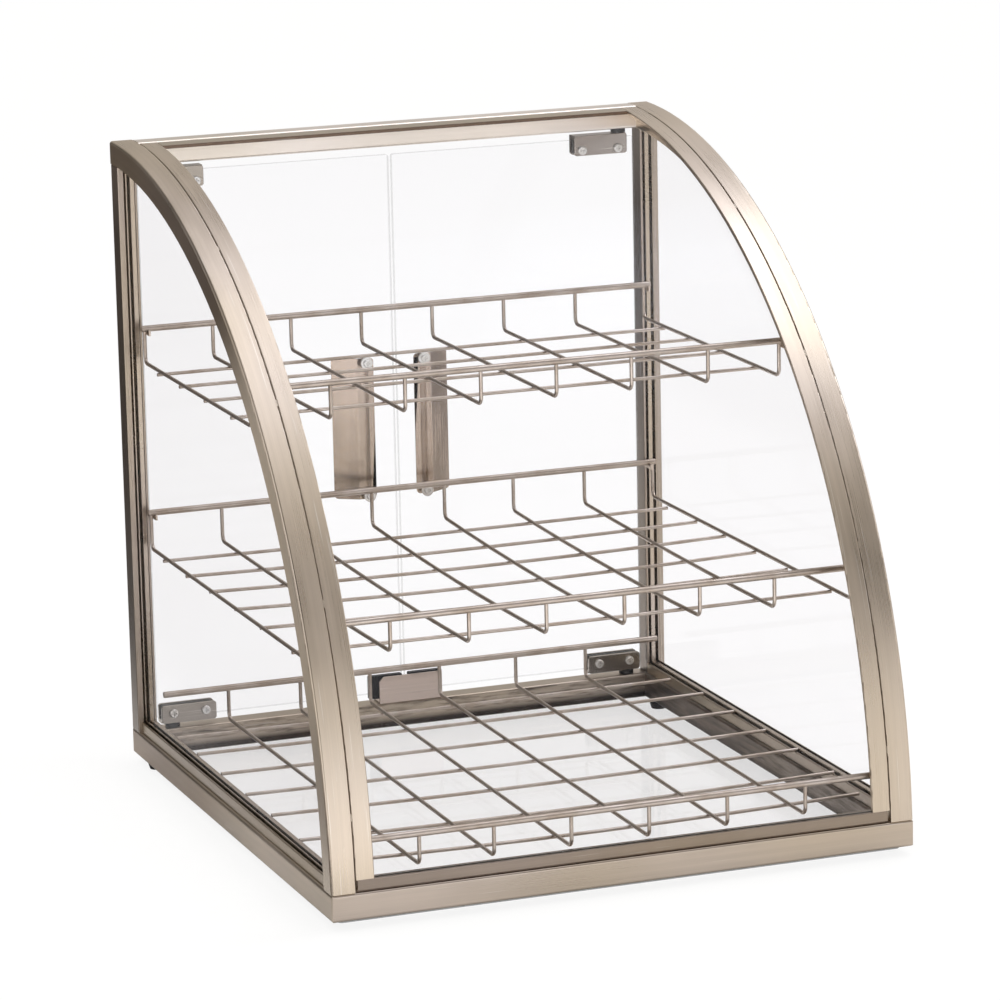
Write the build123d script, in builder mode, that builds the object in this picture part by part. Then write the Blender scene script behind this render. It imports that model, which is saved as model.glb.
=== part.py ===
from build123d import *
import math
import os

# Countertop bakery display case: a square-tube base ring, two quarter-round side
# arches with glazed sides, one bent front pane, three wire shelves and two
# clip-hinged glass doors at the rear.
#
# Millimetres. +Z up, front of the case faces -Y. The origin is on the table,
# in the middle of the footprint. Dimensions are given in case coordinates:
# x from the left face, y from the front face, z above the underside of the
# base ring. to_x, to_y and to_z turn them into the frame above.

# ------------------------------------------------------------------ overall
WIDTH = 500.0            # outside of left arch to outside of right arch
DEPTH = 545.0            # base ring, front face to rear face
OVERALL_DEPTH = 551.5    # front face to the tip of the door handles
FOOT_H = 4.5
FLOOR_T = 3.0
BASE_H = 22.5
TUBE = 20.0              # base ring and arch tube width
WALL = 1.5
EDGE_R = 2.5             # rounding of the long tube edges
OVERCUT = 1.0            # how far a cutter runs past the face it opens
ABOVE_CASE = 620.0       # a height clear of everything

# ------------------------------------------------------------------ side frames
ARC_Y = 552.0            # centre of the quarter round
ARC_Z = -9.2
R_OUT = 552.8
R_IN = R_OUT - TUBE
SEAM_R = 0.6             # crisp edge of the arch beside its strip
CHANNEL_X0 = 5.0         # glazing channel on the inside of the arch
CHANNEL_W = 10.0
CHANNEL_X1 = CHANNEL_X0 + CHANNEL_W
R_CHANNEL = R_IN + 6.0
POST_W = 17.0
POST_Y0 = DEPTH - TUBE
POST_GROOVE_END = 531.0
POST_CUT_Z1 = 560.0      # cutters in the post run past its top
SIDE_RAIL_WALL = 2.0     # bottom side rails, either side of the channel
SIDE_RAIL_Z1 = 31.5
SIDE_RAIL_FLOOR = 25.5
TOP_Z0 = 523.5           # top rear rail
TOP_Z1 = TOP_Z0 + TUBE

# ------------------------------------------------------------------ front pane
PANE_T = 3.0
PANE_GAP = 0.5           # between the pane and each arch
STRIP_T = 3.0
STRIP_W = 15.4
STRIP_X0 = TUBE + 0.6
STRIP_X1 = STRIP_X0 + STRIP_W
STRIP_Y1 = 523.5         # rear edge of the pane and the strips
STRIP_EDGE_R = 0.8
R_STRIP_IN = R_OUT - STRIP_T
R_PANE_IN = R_STRIP_IN - PANE_T
SILL_X = (22.0, 477.0)
SILL_Z1 = 32.5
SILL_GAP = 1.3           # shadow gap under the front of the sill

# ------------------------------------------------------------------ side glazing
GLASS_X0 = 7.0
GLASS_T = 3.0
GLASS_INSET = 0.8
TRIM_X = (6.2, 13.6)
TRIM_W = 8.5
GLAZING_CORNER_R = 6.0

# ------------------------------------------------------------------ feet and small holes
FEET = ((12.0, 512.0), (WIDTH - 12.0, 512.0), (15.5, 40.0), (WIDTH - 15.5, 40.0))
FOOT_R = 8.0
FOOT_NARROWING = 1.5     # radius lost from the top of a foot to its bottom
FOOT_SEAT_Z = -4.3       # where the screw head bears inside the foot
FOOT_HEAD_Z0 = -6.5
M4 = 4.0
CLEAR_D = 4.2

# ------------------------------------------------------------------ doors
PIVOT_X = 34.0
PIVOT_Y = 535.0
PIVOTS_X = (PIVOT_X, WIDTH - PIVOT_X)
PIN_D = 6.0
BORE_D = 6.1
SLEEVE_D = 9.0
SLEEVE_HOLE_DEPTH = 3.0  # cutter depth for the sleeve in the tube wall
FLANGE_D = 13.0
FLANGE_T = 3.5
DOOR_X = (20.0, 248.5)
DOOR_Y0 = 532.5
DOOR_Y1 = 537.5
DOOR_Z = (30.5, 515.5)
GLASS_HOLE_D = 6.0

# Hinges of the left door, seen in x and z. Each is a clamp of two plates on the glass.
# ledge, pad, pin_hole, pin: z ranges; rounded_row: which end of the clamp in z is
# rounded, as an index from low to high
HINGES = {
    "lower": dict(
        x=(23.0, 73.0), z=(26.5, 42.5), screw_x=(33.5, 63.0), screw_z=35.5, rounded_row=-1,
        ledge=(26.5, 30.0), pad=(30.5, 41.5), pin_hole=(26.0, 29.5), pin=(14.0, 29.5)),
    "upper": dict(
        x=(28.0, 78.0), z=(501.5, 519.5), screw_x=(37.0, 71.0), screw_z=506.5, rounded_row=0,
        ledge=(516.0, 519.5), pad=(502.5, 515.5), pin_hole=(516.5, 520.0), pin=(516.5, 532.0)),
}
HINGE_SCREWS = [(x, hinge["screw_z"]) for hinge in HINGES.values() for x in hinge["screw_x"]]
CLAMP_T = 3.0
CLAMP_CORNER_R = 2.5
PAD_T = 1.0
PAD_INSET = 2.0          # from each end of the clamp
CLAMP_FRONT_Y1 = DOOR_Y0 - PAD_T
CLAMP_FRONT_Y0 = CLAMP_FRONT_Y1 - CLAMP_T
CLAMP_REAR_Y0 = DOOR_Y1 + PAD_T
CLAMP_REAR_Y1 = CLAMP_REAR_Y0 + CLAMP_T
HINGE_HEAD_Y0 = 525.9    # front of the hinge screw heads

HANDLE_X = 223.0         # screw line of the handle
HANDLE_Z = (208.5, 335.5)
HANDLE_T = 1.5
HANDLE_BEND_X = 215.3
HANDLE_FLANGE_X = 231.0  # free edge of the flange on the glass
HANDLE_SCREW_Z = (212.2, 331.8)
HANDLE_HEAD_Y0 = 529.0   # front of the handle screw heads
HANDLE_WASHER_Y0 = 531.2

# ------------------------------------------------------------------ shelves
RAIL_D = 5.5
LONG_D = 3.2
CROSS_D = 3.0
BEND_R = 6.0
HANG_REACH = 235.0       # sideways distance from the middle at which hang is zero
CLIP_T = 1.6
CLIP_LIP_W = 2.0
CLIP_LIP_DROP = 0.8      # lip top below the rail centre
REAR_CLIP_Y = (505.2, 531.0)
REAR_CLIP_H = 3.0
FRONT_CLIP_H = 3.5

# Every shelf is a hand-welded basket, so the wires are set out one by one.
# rear, front: rail (y, z); rear_x, front_x: rail ends; z: height of the long wires
# long: (x at the rear, x at the front) of each long wire
# cross: (y, left end, right end) of each cross wire
# drop: how far the middle hangs at the (rear, front, halfway) relative to the sides
SHELVES = {
    "top": dict(
        rear=(511.0, 384.3), front=(214.0, 384.3),
        rear_x=(12.0, 485.0), front_x=(12.0, 488.0), z=354.5,
        long=((14.8, 14.8), (76.1, 82.4), (147.2, 146.4), (211.8, 212.2),
              (277.7, 278.6), (344.9, 345.3), (412.9, 414.1), (478.6, 478.6)),
        cross=((470.0, 12.6, 482.0), (411.0, 14.0, 485.0), (344.0, 15.0, 486.5),
               (268.0, 14.0, 484.0)),
        drop=(0.0, 0.0, 0.0)),
    "middle": dict(
        rear=(512.0, 221.8), front=(86.0, 216.8),
        rear_x=(12.0, 488.0), front_x=(12.0, 488.0), z=190.0,
        long=((14.8, 14.8), (78.9, 83.6), (150.5, 150.3), (217.4, 216.6),
              (285.5, 284.1), (350.9, 350.1), (419.0, 416.2), (485.2, 485.2)),
        cross=((475.0, 13.4, 484.0), (412.5, 14.5, 486.0), (351.0, 16.2, 487.0),
               (283.5, 16.8, 486.0), (214.5, 16.5, 485.0), (128.0, 15.0, 486.0)),
        drop=(0.0, 0.0, 3.4)),
    "bottom": dict(
        rear=(489.0, 64.0), front=(14.0, 60.2),
        rear_x=(13.2, 477.5), front_x=(28.0, 472.0), z=36.32,
        long=((72.2, 78.2), (138.4, 140.9), (203.2, 206.6), (268.5, 273.4),
              (341.0, 341.4), (408.0, 410.0)),
        cross=((457.0, 14.6, 477.0), (400.0, 15.2, 484.5), (333.0, 15.4, 485.2),
               (264.5, 15.3, 485.2), (198.0, 15.8, 486.0), (121.0, 14.4, 484.2),
               (54.0, 15.0, 476.0)),
        drop=(0.8, 3.4, 0.0)),
}


# ================================================================== helpers
def to_x(x):
    return x - WIDTH / 2


def to_y(y):
    return y - OVERALL_DEPTH / 2


def to_z(z):
    return z + FOOT_H + FLOOR_T


def plan(x, y):
    """Point of a sketch seen from above."""
    return (to_x(x), to_y(y))


def side(y, z):
    """Point of a sketch seen from the side."""
    return (to_y(y), to_z(z))


def point(x, y, z):
    return (to_x(x), to_y(y), to_z(z))


def block(x0, x1, y0, y1, z0, z1, mode=Mode.ADD):
    """Box between two corners."""
    with Locations(point((x0 + x1) / 2, (y0 + y1) / 2, (z0 + z1) / 2)):
        Box(x1 - x0, y1 - y0, z1 - z0, mode=mode)


def rod_x(diameter, x0, x1, y, z):
    with Locations(Location(point((x0 + x1) / 2, y, z), (0, 90, 0))):
        Cylinder(diameter / 2, x1 - x0)


def rod_y(diameter, x, y0, y1, z, mode=Mode.ADD):
    with Locations(Location(point(x, (y0 + y1) / 2, z), (90, 0, 0))):
        Cylinder(diameter / 2, y1 - y0, mode=mode)


def rod_z(diameter, x, y, z0, z1, mode=Mode.ADD):
    with Locations(point(x, y, (z0 + z1) / 2)):
        Cylinder(diameter / 2, z1 - z0, mode=mode)


def cross_recess(x, z, y0, y1, half_length, half_width):
    """Cut a cross slot into a screw head that faces the front."""
    block(x - half_length, x + half_length, y0, y1, z - half_width, z + half_width,
          Mode.SUBTRACT)
    block(x - half_width, x + half_width, y0, y1, z - half_length, z + half_length,
          Mode.SUBTRACT)


def window(y0, y1, z0, z1):
    """Keep only this rectangle of a side-view sketch."""
    with Locations(side((y0 + y1) / 2, (z0 + z1) / 2)):
        Rectangle(y1 - y0, z1 - z0, mode=Mode.INTERSECT)


def band(r_in, r_out, y0, y1, z0):
    """Side-view band between two arch radii, from y0 to y1 and above z0."""
    with Locations(side(ARC_Y, ARC_Z)):
        Circle(r_out)
        if r_in > 0:
            Circle(r_in, mode=Mode.SUBTRACT)
    window(y0, y1, z0, ABOVE_CASE)


BAND_Y0 = -5.0           # a band that starts here keeps its whole front


def arc_point(radius, degrees):
    """Point of the arch in side view; 0 degrees is level, 90 is straight up."""
    angle = math.radians(degrees)
    return side(ARC_Y - radius * math.cos(angle), ARC_Z + radius * math.sin(angle))


def long_arcs(builder, radius, margin):
    """The long circular edges within a margin of this radius."""
    return ShapeList([edge for edge in builder.edges().filter_by(GeomType.CIRCLE)
                      if radius - margin < edge.radius < radius + margin and edge.length > 100])


def circles_at_y(builder, y):
    return [edge for edge in builder.edges().filter_by(GeomType.CIRCLE)
            if abs(edge.center().Y - to_y(y)) < 0.01]


def tube(start_plane, centre, width, height, length):
    """Rectangular tube with rounded outer edges, extruded from a plane."""
    with BuildPart() as tube_part:
        with BuildSketch(start_plane) as section:
            with Locations(centre):
                Rectangle(width, height)
            fillet(section.vertices(), EDGE_R)
            with Locations(centre):
                Rectangle(width - 2 * WALL, height - 2 * WALL, mode=Mode.SUBTRACT)
        extrude(amount=length)
    return tube_part.part


def mirrored(part, about=Plane.YZ):
    with BuildPart() as mirror_image:
        mirror(part, about=about)
    return mirror_image.part


pieces = {}


def keep(name, part):
    part.label = name
    pieces[name] = part


def keep_pair(name, left_part):
    """Keep a left-hand piece and its mirror image on the right."""
    keep("left_" + name, left_part)
    keep("right_" + name, mirrored(left_part))


# ================================================================== base ring
# Four lengths of rectangular tube, mitred and welded at the corners.
def mitred_rail(rail_tube, corners):
    """Cut a tube to its mitred plan outline and round the corners of the ring."""
    with BuildPart() as rail:
        add(rail_tube)
        with BuildSketch(Plane.XY.offset(to_z(-OVERCUT))):
            with BuildLine():
                Polyline(*corners, close=True)
            make_face()
        extrude(amount=BASE_H + 2 * OVERCUT, mode=Mode.INTERSECT)
        with BuildSketch(Plane.XY.offset(to_z(-OVERCUT))):
            with Locations(plan(WIDTH / 2, DEPTH / 2)):
                RectangleRounded(WIDTH, DEPTH, 1.5)
        extrude(amount=BASE_H + 2 * OVERCUT, mode=Mode.INTERSECT)
    return rail.part


front_tube = tube(Plane.YZ.offset(to_x(0)), side(TUBE / 2, BASE_H / 2), TUBE, BASE_H, WIDTH)
front_rail = mitred_rail(front_tube, (plan(0, 0), plan(WIDTH, 0),
                                      plan(WIDTH - TUBE, TUBE), plan(TUBE, TUBE)))
keep("base_front_rail", front_rail)

rear_rail = mirrored(front_rail, about=Plane.XZ.offset(-to_y(DEPTH / 2)))
with BuildPart() as base_rear_rail:
    add(rear_rail)
    for x in PIVOTS_X:
        rod_z(SLEEVE_D, x, PIVOT_Y, BASE_H - SLEEVE_HOLE_DEPTH, BASE_H + OVERCUT, Mode.SUBTRACT)
keep("base_rear_rail", base_rear_rail.part)

side_tube = tube(Plane.XZ.offset(-to_y(0)), (to_x(TUBE / 2), to_z(BASE_H / 2)),
                 TUBE, BASE_H, -DEPTH)
side_rail = mitred_rail(side_tube, (plan(0, 0), plan(TUBE, TUBE),
                                    plan(TUBE, DEPTH - TUBE), plan(0, DEPTH)))
with BuildPart() as base_left_rail:
    add(side_rail)
    for x, y in FEET:
        rod_z(M4, x, y, -OVERCUT, 3, Mode.SUBTRACT)
keep("base_left_rail", base_left_rail.part)
keep("base_right_rail", mirrored(base_left_rail.part))

# Clear floor panel, screwed up against the ring together with the feet.
FLOOR_INSET = 8.0
with BuildPart() as floor_panel:
    block(FLOOR_INSET, WIDTH - FLOOR_INSET, FLOOR_INSET, DEPTH - FLOOR_INSET, -FLOOR_T, 0)
    fillet(floor_panel.edges().filter_by(Axis.Z), 4)
    for x, y in FEET:
        rod_z(CLEAR_D, x, y, -FLOOR_T - OVERCUT, OVERCUT, Mode.SUBTRACT)
keep("floor_panel", floor_panel.part)

# Tapered feet, bored for the screw and counterbored for its head.
with BuildPart() as rubber_feet:
    for x, y in FEET:
        with BuildSketch(Plane.XY.offset(to_z(-FLOOR_T))):
            with Locations(plan(x, y)):
                Circle(FOOT_R)
        extrude(amount=-FOOT_H, taper=math.degrees(math.atan(FOOT_NARROWING / FOOT_H)))
        rod_z(CLEAR_D, x, y, -10, 0, Mode.SUBTRACT)
        rod_z(8.0, x, y, -10, FOOT_SEAT_Z, Mode.SUBTRACT)
keep("rubber_feet", rubber_feet.part)

SLOT_HALF_L = 1.9        # cross slot of the foot and handle screws
SLOT_HALF_W = 0.45
FOOT_SLOT_Z1 = -5.2
with BuildPart() as foot_screws:
    for x, y in FEET:
        rod_z(7.0, x, y, FOOT_HEAD_Z0, FOOT_SEAT_Z)
        rod_z(M4, x, y, FOOT_SEAT_Z, 6)
        for half_x, half_y in ((SLOT_HALF_L, SLOT_HALF_W), (SLOT_HALF_W, SLOT_HALF_L)):
            block(x - half_x, x + half_x, y - half_y, y + half_y, FOOT_HEAD_Z0, FOOT_SLOT_Z1,
                  Mode.SUBTRACT)
keep("foot_screws", foot_screws.part)

# ================================================================== side frames
# Quarter-round tube. Its inner side is an open channel that takes the glazing.
with BuildPart() as left_arch:
    with BuildSketch(Plane.YZ.offset(to_x(0))):
        band(R_IN, R_OUT, BAND_Y0, DEPTH, BASE_H)
    extrude(amount=TUBE)
    fillet(long_arcs(left_arch, R_OUT, 1).sort_by(Axis.X)[:1], EDGE_R)
    fillet(long_arcs(left_arch, R_OUT, 1).sort_by(Axis.X)[-1:], SEAM_R)
    fillet(long_arcs(left_arch, R_IN, 1), 1.0)
    with BuildSketch(Plane.YZ.offset(to_x(CHANNEL_X0))):
        band(R_IN - OVERCUT, R_CHANNEL, BAND_Y0, POST_GROOVE_END + 1, BASE_H - OVERCUT)
    extrude(amount=CHANNEL_W, mode=Mode.SUBTRACT)
    with BuildSketch(Plane.YZ.offset(to_x(WALL))):
        band(R_CHANNEL + WALL, R_OUT - WALL, BAND_Y0, DEPTH - WALL, BASE_H - OVERCUT)
    extrude(amount=TUBE - 2 * WALL, mode=Mode.SUBTRACT)
keep_pair("arch", left_arch.part)

# Upright under the rear end of the arch, grooved in front and hollow behind.
with BuildPart() as left_rear_post:
    with BuildSketch(Plane.YZ.offset(to_x(0))):
        band(0, R_IN, POST_Y0, DEPTH, BASE_H)
    extrude(amount=POST_W)
    fillet(left_rear_post.edges().filter_by(Axis.Z).group_by(Axis.Y)[-1], 2.0)
    fillet(left_rear_post.edges().filter_by(Axis.Z).group_by(Axis.Y)[0], 0.8)
    block(CHANNEL_X0, CHANNEL_X1, POST_Y0 - OVERCUT, POST_GROOVE_END,
          BASE_H - OVERCUT, POST_CUT_Z1, Mode.SUBTRACT)
    block(WALL, POST_W - WALL, POST_GROOVE_END + 2, DEPTH - WALL,
          BASE_H - OVERCUT, POST_CUT_Z1, Mode.SUBTRACT)
keep_pair("rear_post", left_rear_post.part)

with BuildPart() as left_bottom_rail:
    with BuildSketch(Plane.YZ.offset(to_x(CHANNEL_X0 - SIDE_RAIL_WALL))):
        band(0, R_IN, 0, POST_Y0, BASE_H)
        window(0, POST_Y0, BASE_H, SIDE_RAIL_Z1)
    extrude(amount=CHANNEL_W + 2 * SIDE_RAIL_WALL)
    fillet(left_bottom_rail.edges().filter_by(Axis.Y).group_by(Axis.Z)[-1], 0.8)
    block(CHANNEL_X0, CHANNEL_X1, 0, POST_Y0 + OVERCUT,
          SIDE_RAIL_FLOOR, SIDE_RAIL_Z1 + OVERCUT, Mode.SUBTRACT)
keep_pair("bottom_rail", left_bottom_rail.part)

# Tube across the top at the rear, welded between the two arches.
top_tube = tube(Plane.YZ.offset(to_x(TUBE)), side((POST_Y0 + DEPTH) / 2, (TOP_Z0 + TOP_Z1) / 2),
                DEPTH - POST_Y0, TOP_Z1 - TOP_Z0, WIDTH - 2 * TUBE)
with BuildPart() as top_rear_rail:
    add(top_tube)
    for x in PIVOTS_X:
        rod_z(SLEEVE_D, x, PIVOT_Y, TOP_Z0 - OVERCUT, TOP_Z0 + SLEEVE_HOLE_DEPTH, Mode.SUBTRACT)
keep("top_rear_rail", top_rear_rail.part)

# Bar the front pane stands on, with a narrower foot under it.
with BuildPart() as front_sill:
    block(*SILL_X, 0.5, 10.5, BASE_H + SILL_GAP, SILL_Z1)
    fillet(front_sill.edges().filter_by(Axis.X), 0.6)
    block(*SILL_X, 4.0, 10.0, BASE_H, BASE_H + SILL_GAP + 1)
keep("front_sill", front_sill.part)

# ================================================================== front pane and its strips
with BuildPart() as curved_front_pane:
    with BuildSketch(Plane.YZ.offset(to_x(TUBE + PANE_GAP))):
        band(R_PANE_IN, R_STRIP_IN, BAND_Y0, STRIP_Y1, SILL_Z1)
    extrude(amount=WIDTH - 2 * (TUBE + PANE_GAP))
keep("curved_front_pane", curved_front_pane.part)

with BuildPart() as left_arch_strip:
    with BuildSketch(Plane.YZ.offset(to_x(STRIP_X0))):
        band(R_STRIP_IN, R_OUT, BAND_Y0, STRIP_Y1, SILL_Z1)
    extrude(amount=STRIP_W)
    fillet(long_arcs(left_arch_strip, R_OUT, 0.5), STRIP_EDGE_R)
keep_pair("arch_strip", left_arch_strip.part)

with BuildPart() as top_strip:
    with BuildSketch(Plane.YZ.offset(to_x(STRIP_X1))):
        band(R_STRIP_IN, R_OUT, STRIP_Y1 - STRIP_W, STRIP_Y1, 500)
    extrude(amount=WIDTH - 2 * STRIP_X1)
    fillet(top_strip.edges().filter_by(Axis.X).group_by(Axis.Z)[-1], STRIP_EDGE_R)
keep("top_strip", top_strip.part)

# Short welds across the narrow gaps beside the strips.
ARCH_TACKS = ((85.2, 18.0), (63.5, 6.0), (45.2, 6.0), (27.0, 6.0), (9.5, 6.0))  # angle, length
ARCH_TACK_X0 = 19.3
R_TACK_IN = R_STRIP_IN + 0.1
R_TACK_OUT = R_OUT - 0.3
TOP_TACK_X = (70.0, 250.0, 430.0)
with BuildPart() as strip_tack_welds:
    for angle, length in ARCH_TACKS:
        half = math.degrees(length / 2 / R_OUT)
        with BuildSketch(Plane.YZ.offset(to_x(ARCH_TACK_X0))):
            with BuildLine():
                Polyline(arc_point(R_TACK_IN, angle - half), arc_point(R_TACK_OUT, angle - half),
                         arc_point(R_TACK_OUT, angle + half), arc_point(R_TACK_IN, angle + half),
                         close=True)
            make_face()
        extrude(amount=STRIP_X0 - ARCH_TACK_X0)
    mirror(strip_tack_welds.part, about=Plane.YZ)
    for x in TOP_TACK_X:
        block(x - 3, x + 3, STRIP_Y1, 526.4, 540.4, 542.7)
    # Trim the welds to the surfaces of the tubes.
    add(left_arch.part, mode=Mode.SUBTRACT)
    add(pieces["right_arch"], mode=Mode.SUBTRACT)
    add(top_rear_rail.part, mode=Mode.SUBTRACT)
keep("strip_tack_welds", strip_tack_welds.part)

# ================================================================== side glazing
with BuildSketch(Plane.YZ) as glazing_outline:
    band(0, R_CHANNEL, BAND_Y0, POST_GROOVE_END, SIDE_RAIL_FLOOR)
    low_rear = glazing_outline.vertices().group_by(Axis.X)[-1].sort_by(Axis.Y)[0]
    fillet(low_rear, GLAZING_CORNER_R)

with BuildSketch(Plane.YZ) as glass_outline:
    add(glazing_outline.sketch_local)
    offset(amount=-GLASS_INSET, mode=Mode.REPLACE)

with BuildSketch(Plane.YZ) as glazing_opening:
    add(glazing_outline.sketch_local)
    offset(amount=-TRIM_W, mode=Mode.REPLACE)

with BuildPart() as left_side_glass:
    with BuildSketch(Plane.YZ.offset(to_x(GLASS_X0))):
        add(glass_outline.sketch_local)
    extrude(amount=GLASS_T)
keep_pair("side_glass", left_side_glass.part)

# Trim around the edge of the glass, on both of its faces.
with BuildPart() as left_glazing_channel:
    with BuildSketch(Plane.YZ.offset(to_x(TRIM_X[0]))):
        add(glazing_outline.sketch_local)
        add(glazing_opening.sketch_local, mode=Mode.SUBTRACT)
    extrude(amount=TRIM_X[1] - TRIM_X[0])
    add(left_side_glass.part, mode=Mode.SUBTRACT)
keep_pair("glazing_channel", left_glazing_channel.part)

# ================================================================== rear opening hardware
# Angle plate in the middle of the base that the door magnets close on.
STRIKE_X = (224.5, 284.0)
STRIKE_BEND_Y = 527.2    # rear face of the upright leg
with BuildPart() as door_strike_plate:
    block(*STRIKE_X, 525.5, STRIKE_BEND_Y, BASE_H, 47)
    top_edges = door_strike_plate.edges().filter_by(Axis.Y).group_by(Axis.Z)[-1]
    chamfer(top_edges.sort_by(Axis.X)[0], 4)
    block(*STRIKE_X, STRIKE_BEND_Y, 543, BASE_H, 24)
keep("door_strike_plate", door_strike_plate.part)

# Flanged bushings in the base and the top rail, with blind bores.
with BuildPart() as pivot_bushings:
    for x in PIVOTS_X:
        rod_z(FLANGE_D, x, PIVOT_Y, BASE_H, BASE_H + FLANGE_T)
        rod_z(SLEEVE_D, x, PIVOT_Y, 10, BASE_H)
        rod_z(BORE_D, x, PIVOT_Y, 13.9, BASE_H + FLANGE_T + OVERCUT, Mode.SUBTRACT)
        rod_z(FLANGE_D, x, PIVOT_Y, TOP_Z0 - FLANGE_T, TOP_Z0)
        rod_z(SLEEVE_D, x, PIVOT_Y, TOP_Z0, 535)
        rod_z(BORE_D, x, PIVOT_Y, TOP_Z0 - FLANGE_T - OVERCUT, 532.5, Mode.SUBTRACT)
keep("pivot_bushings", pivot_bushings.part)

# Flat steel hooks: the ends of the shelf rails lie on them.
with BuildPart() as shelf_support_clips:
    for shelf in ("top", "middle"):
        rear_z = SHELVES[shelf]["rear"][1]
        front_y, front_z = SHELVES[shelf]["front"]

        seat_z = rear_z - RAIL_D / 2
        under_z = seat_z - REAR_CLIP_H
        lip_z = rear_z - CLIP_LIP_DROP
        lip_y, post_y = REAR_CLIP_Y
        with BuildSketch(Plane.YZ.offset(to_x(POST_W))):
            with BuildLine():
                Polyline(side(post_y, under_z), side(lip_y, under_z), side(lip_y, lip_z),
                         side(lip_y + CLIP_LIP_W, lip_z), side(lip_y + CLIP_LIP_W, seat_z),
                         side(post_y, seat_z), close=True)
            make_face()
        extrude(amount=CLIP_T)

        # The front hook runs back from the arch and ends in a lip behind the rail.
        seat_z = front_z - RAIL_D / 2
        lip_z = front_z - CLIP_LIP_DROP
        lip_y = front_y + RAIL_D / 2 + 0.6
        with BuildSketch(Plane.YZ.offset(to_x(POST_W))):
            with Locations(side(ARC_Y, ARC_Z)):
                Circle(R_IN)
            window(front_y - 60, lip_y + CLIP_LIP_W, seat_z - FRONT_CLIP_H, seat_z)
            with BuildLine():
                Polyline(side(lip_y, seat_z), side(lip_y + CLIP_LIP_W, seat_z),
                         side(lip_y + CLIP_LIP_W, lip_z), side(lip_y, lip_z), close=True)
            make_face()
        extrude(amount=CLIP_T)
    mirror(shelf_support_clips.part, about=Plane.YZ)
keep("shelf_support_clips", shelf_support_clips.part)

# ================================================================== doors
# The left door is modelled; the right one is its mirror image.
with BuildPart() as door_glass:
    block(*DOOR_X, DOOR_Y0, DOOR_Y1, *DOOR_Z)
    fillet(door_glass.edges().filter_by(Axis.Y), 2.0)
    for x, z in HINGE_SCREWS + [(HANDLE_X, z) for z in HANDLE_SCREW_Z]:
        rod_y(GLASS_HOLE_D, x, DOOR_Y0 - OVERCUT, DOOR_Y1 + OVERCUT, z, Mode.SUBTRACT)
keep_pair("door_glass", door_glass.part)

for level, hinge in HINGES.items():
    # Rear half of the glass clamp, with the ledge under or over the glass.
    with BuildPart() as hinge_clamp:
        block(*hinge["x"], CLAMP_REAR_Y0, CLAMP_REAR_Y1, *hinge["z"])
        across_edges = hinge_clamp.edges().filter_by(Axis.Y).group_by(Axis.Z)
        fillet(across_edges[hinge["rounded_row"]], CLAMP_CORNER_R)
        block(*hinge["x"], CLAMP_FRONT_Y1, CLAMP_REAR_Y0, *hinge["ledge"])
        rod_z(PIN_D, PIVOT_X, PIVOT_Y, *hinge["pin_hole"], Mode.SUBTRACT)
        for x in hinge["screw_x"]:
            rod_y(M4, x, CLAMP_REAR_Y0 - OVERCUT, CLAMP_REAR_Y1 + OVERCUT, hinge["screw_z"],
                  Mode.SUBTRACT)
    keep_pair(level + "_hinge_clamp", hinge_clamp.part)

    # Front half, a plain plate on the inside of the door.
    with BuildPart() as hinge_plate:
        block(*hinge["x"], CLAMP_FRONT_Y0, CLAMP_FRONT_Y1, *hinge["z"])
        fillet(hinge_plate.edges().filter_by(Axis.Y), CLAMP_CORNER_R)
        fillet(hinge_plate.faces().sort_by(Axis.Y)[0].edges(), 0.5)
        for x in hinge["screw_x"]:
            rod_y(CLEAR_D, x, 527, 533, hinge["screw_z"], Mode.SUBTRACT)
    keep_pair(level + "_hinge_plate", hinge_plate.part)

# Clear cushions between steel and glass.
with BuildPart() as hinge_pads:
    for hinge in HINGES.values():
        x0, x1 = hinge["x"]
        for y0 in (CLAMP_FRONT_Y1, DOOR_Y1):
            block(x0 + PAD_INSET, x1 - PAD_INSET, y0, y0 + PAD_T, *hinge["pad"])
    for x, z in HINGE_SCREWS:
        rod_y(CLEAR_D, x, 531, 539, z, Mode.SUBTRACT)
keep_pair("hinge_pads", hinge_pads.part)

with BuildPart() as hinge_screws:
    for x, z in HINGE_SCREWS:
        rod_y(8.0, x, HINGE_HEAD_Y0, CLAMP_FRONT_Y0, z)
        rod_y(M4, x, CLAMP_FRONT_Y0, CLAMP_REAR_Y1 + 0.6, z)
    fillet(circles_at_y(hinge_screws, HINGE_HEAD_Y0), 1.1)
    for x, z in HINGE_SCREWS:
        cross_recess(x, z, 525, HINGE_HEAD_Y0 + 1.5, half_length=2.1, half_width=0.5)
keep_pair("hinge_screws", hinge_screws.part)

PIN_TIPS_Z = (HINGES["lower"]["pin"][0], HINGES["upper"]["pin"][1])
with BuildPart() as pivot_pins:
    for hinge in HINGES.values():
        rod_z(PIN_D, PIVOT_X, PIVOT_Y, *hinge["pin"])
    chamfer([edge for edge in pivot_pins.edges().filter_by(GeomType.CIRCLE)
             if min(abs(edge.center().Z - to_z(tip)) for tip in PIN_TIPS_Z) < 0.01], 0.5)
keep_pair("pivot_pins", pivot_pins.part)

# Bent plate pull: a flange on the glass and a wing that stands off it.
wing_dx, wing_dy = -0.8385, 0.5449                    # direction of the wing, seen from above
skin_dx, skin_dy = wing_dy * HANDLE_T, -wing_dx * HANDLE_T    # across the wing's thickness
wing_length = (OVERALL_DEPTH - DOOR_Y1 - skin_dy) / wing_dy
tip_x = HANDLE_BEND_X + wing_length * wing_dx
tip_y = DOOR_Y1 + wing_length * wing_dy
flange_y = DOOR_Y1 + HANDLE_T
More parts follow.
